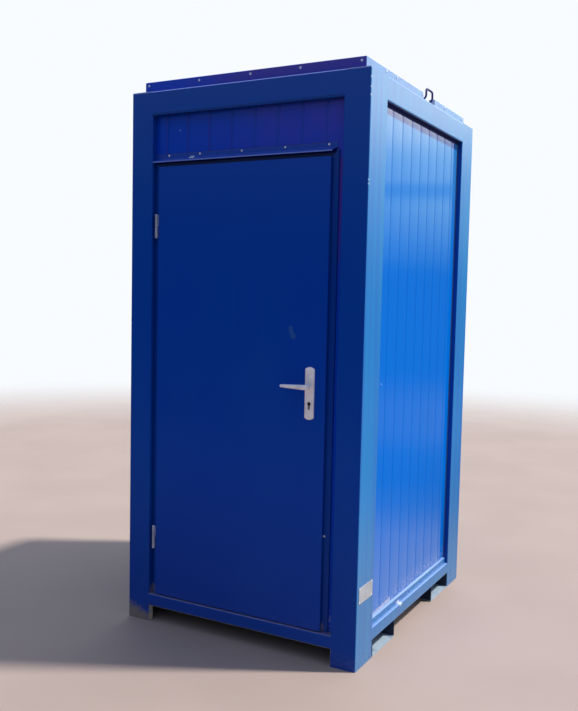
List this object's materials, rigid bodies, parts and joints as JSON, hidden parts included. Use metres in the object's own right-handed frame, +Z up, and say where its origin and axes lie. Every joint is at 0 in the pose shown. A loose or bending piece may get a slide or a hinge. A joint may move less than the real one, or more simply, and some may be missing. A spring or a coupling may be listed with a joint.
{
  "type": "portable site cabin",
  "caption": "Small portable site cabin: blue steel frame with folded corner posts, grooved wall panels, an outward-opening rebated door with a lever handle, fork pockets and lifting eyes.",
  "frame": {"origin": "on the ground under the middle of the steel frame", "axes": "+Z up, the door faces -Y, +X to the right of someone who faces the door"},
  "size_m": [1.2015, 1.442, 2.57],
  "materials": {
    "frame_paint": "gloss blue paint on folded steel",
    "fork_pocket_paint": "worn blue paint on folded steel",
    "panel_paint": "gloss blue coil coating on grooved sheet",
    "roof_paint": "weathered blue paint on sheet",
    "trim_paint": "gloss blue paint on folded sheet",
    "door_frame_paint": "gloss blue paint on folded steel",
    "door_paint": "gloss blue paint on flat sheet",
    "floor_board": "film-faced board, matt brown",
    "ceiling_paint": "pale grey coil coating",
    "eye_steel": "dark painted round bar",
    "sill_aluminium": "mill finish, scuffed",
    "data_plate_aluminium": "satin, bare",
    "hinge_zinc": "zinc plated",
    "handle_nickel": "satin nickel",
    "lock_steel": "zinc plated"
  },
  "bodies": {
    "cabin": {"corner_post_front_left": "frame_paint", "corner_post_front_right": "frame_paint", "corner_post_rear_left": "frame_paint", "corner_post_rear_right": "frame_paint", "bottom_rail_front": "frame_paint", "bottom_rail_rear": "frame_paint", "bottom_rail_left": "frame_paint", "bottom_rail_right": "frame_paint", "top_rail_front": "frame_paint", "top_rail_rear": "frame_paint", "top_rail_left": "frame_paint", "top_rail_right": "frame_paint", "fork_pocket_front": "fork_pocket_paint", "fork_pocket_rear": "fork_pocket_paint", "left_wall": "panel_paint", "right_wall": "panel_paint", "rear_wall": "panel_paint", "front_wall_left": "panel_paint", "front_wall_right": "panel_paint", "front_wall_over_door": "panel_paint", "roof_deck": "roof_paint", "roof_edging_front": "roof_paint", "roof_edging_rear": "roof_paint", "roof_edging_left": "roof_paint", "roof_edging_right": "roof_paint", "base_trim_left": "trim_paint", "base_trim_right": "trim_paint", "base_trim_rear": "trim_paint", "door_drip_flashing": "trim_paint", "door_frame_left": "door_frame_paint", "door_frame_right": "door_frame_paint", "door_frame_head": "door_frame_paint", "floor_deck": "floor_board", "ceiling_panel": "ceiling_paint", "lifting_eye_left": "eye_steel", "lifting_eye_right": "eye_steel", "door_sill": "sill_aluminium", "data_plate": "data_plate_aluminium", "hinge_frame_halves": "hinge_zinc"},
    "door": {"door_leaf": "door_paint", "hinge_door_halves": "hinge_zinc", "handle_plate_outside": "handle_nickel", "handle_plate_inside": "handle_nickel", "lock_faceplate": "lock_steel"},
    "lever": {"lever_outside": "handle_nickel", "lever_inside": "handle_nickel", "lever_spindle": "lock_steel"}
  },
  "joints": [
    {"name": "door_swing", "type": "hinge", "parent": "cabin", "child": "door", "pos_m": [-0.4605, -0.693, 1.142], "axis": [0, 0, -1], "range_deg": [0, 120]},
    {"name": "lever_turn", "type": "hinge", "parent": "door", "child": "lever", "pos_m": [0.354, -0.671, 1.185], "axis": [0, -1, 0], "range_deg": [0, 40], "stiffness_Nm_per_rad": 2, "springref_deg": -20.05}
  ]
}
